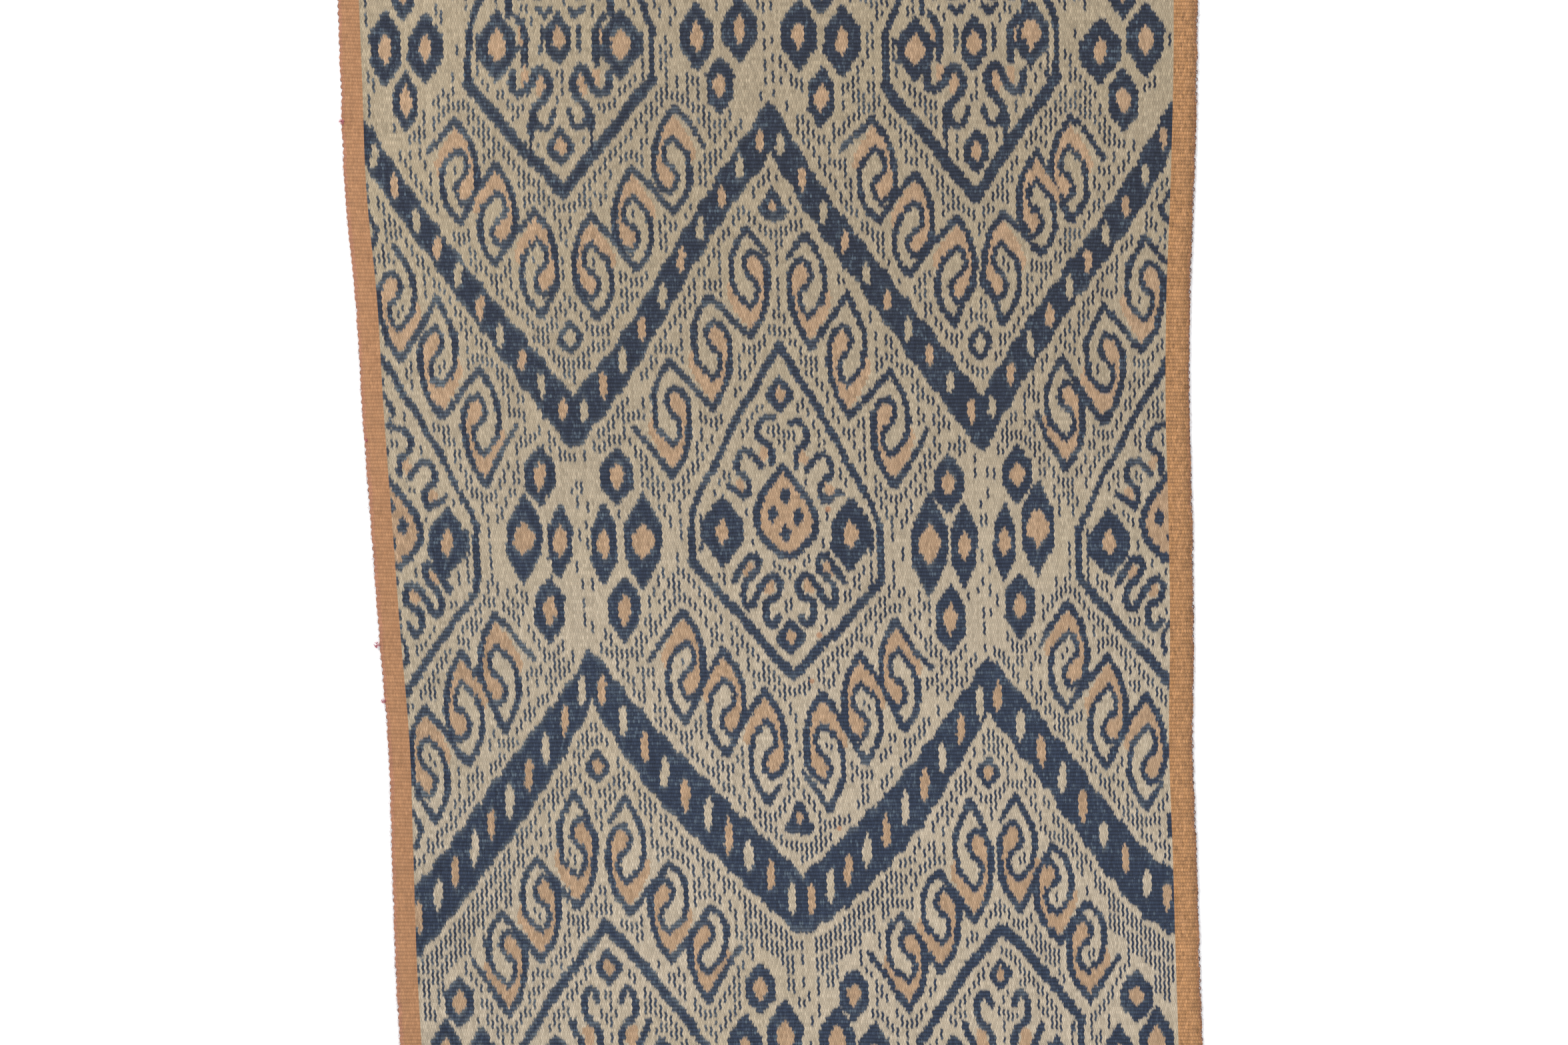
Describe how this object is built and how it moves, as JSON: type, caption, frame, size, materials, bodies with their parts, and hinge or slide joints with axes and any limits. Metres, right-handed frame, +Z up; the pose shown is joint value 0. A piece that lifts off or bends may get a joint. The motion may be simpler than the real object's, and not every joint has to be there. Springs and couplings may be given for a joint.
{
  "type": "ikat woven cloth",
  "caption": "Flat length of warp-faced woven ikat cloth with plain side stripes and a zigzag and hooked lozenge design, lying on a surface; for a wrap skirt, wall or table.",
  "frame": {"origin": "centre of the bounding box's bottom face, on the surface that the cloth lies on", "axes": "+Y along the warp towards the wider end, +X across the cloth to the right as seen from above, +Z up out of the face that shows"},
  "size_m": [0.4744, 0.96, 0.0012],
  "materials": {
    "ikat_cotton": "matte handwoven cotton, warp-faced, dyed indigo, tan and undyed cream in the warp, with plain orange-gold stripes along both sides"
  },
  "bodies": {
    "root": {"cloth": "ikat_cotton"}
  },
  "joints": []
}
